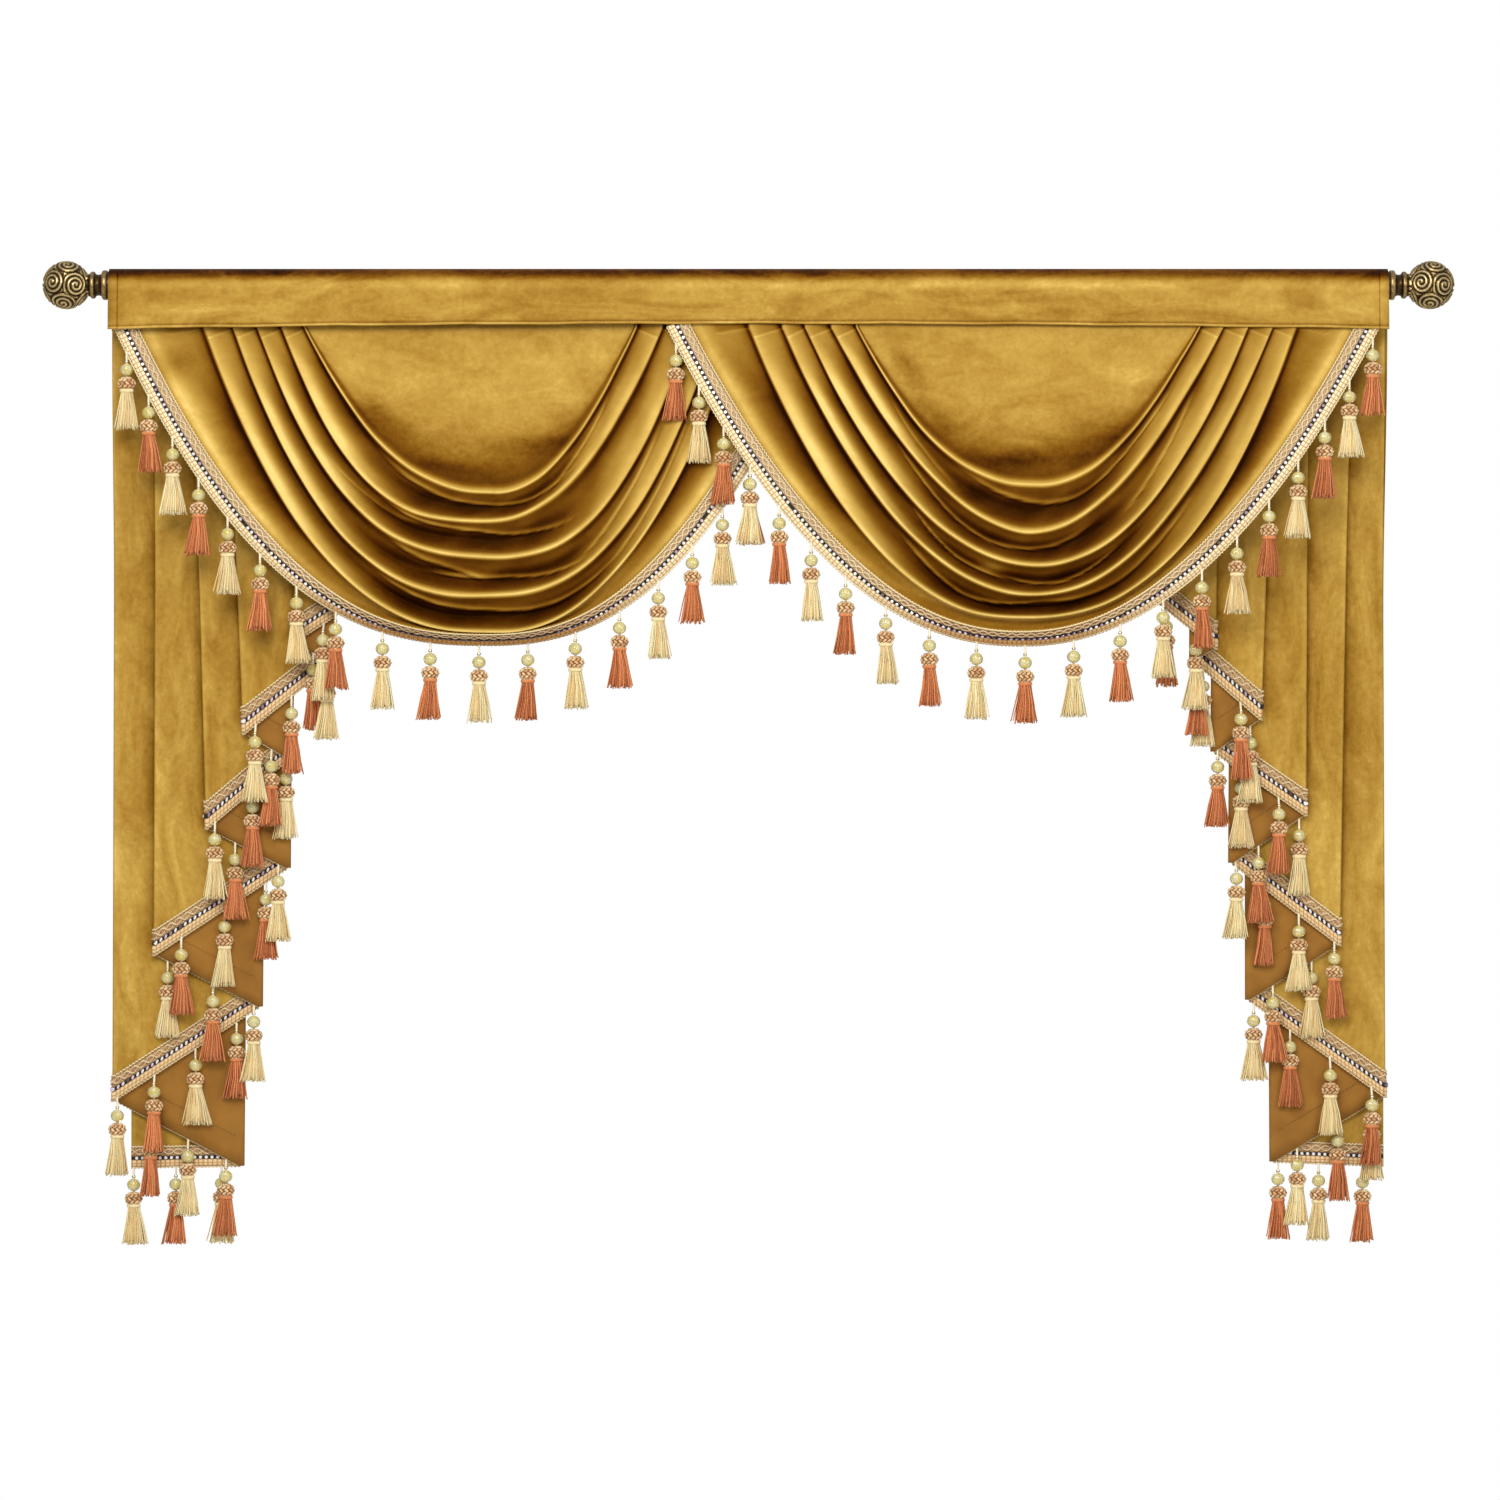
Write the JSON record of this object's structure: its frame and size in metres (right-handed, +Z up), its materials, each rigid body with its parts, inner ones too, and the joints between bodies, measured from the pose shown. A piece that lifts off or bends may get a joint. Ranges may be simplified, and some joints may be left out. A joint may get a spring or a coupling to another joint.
{
  "type": "swag and tail drape with curtain pole",
  "caption": "Window valance of overlapping draped swags between zigzag folded tails, with tassel trim, hung by a header sleeve on a curtain pole with ball finials.",
  "frame": {"origin": "the pole's axis at the middle of its length", "axes": "+X along the pole to the right as seen from the room, -Y into the room, +Z up"},
  "size_m": [1.6564, 0.1138, 1.1584],
  "materials": {
    "velvet": "gold polyester velvet, short pile with a soft sheen, matte brown back",
    "trim": "cream and pink-brown braid with a row of crystals, and cream and rust tassels under pale glass beads",
    "finial": "antique bronze, dark in the hollows and rubbed gold on the scrolls",
    "pole": "antique bronze paint on steel tube, satin"
  },
  "bodies": {
    "root": {"pole": "pole", "finial_left": "finial", "finial_right": "finial", "header": "velvet", "left_swag": "velvet", "right_swag": "velvet", "left_tail": "velvet", "right_tail": "velvet", "left_swag_trim_1": "trim", "left_swag_trim_2": "trim", "left_swag_trim_3": "trim", "left_swag_trim_4": "trim", "left_swag_trim_5": "trim", "right_swag_trim_1": "trim", "right_swag_trim_2": "trim", "right_swag_trim_3": "trim", "right_swag_trim_4": "trim", "right_swag_trim_5": "trim", "left_tail_trim_1": "trim", "left_tail_trim_2": "trim", "left_tail_trim_3": "trim", "left_tail_trim_4": "trim", "left_tail_trim_5": "trim", "left_tail_trim_6": "trim", "right_tail_trim_1": "trim", "right_tail_trim_2": "trim", "right_tail_trim_3": "trim", "right_tail_trim_4": "trim", "right_tail_trim_5": "trim", "right_tail_trim_6": "trim"}
  },
  "joints": []
}
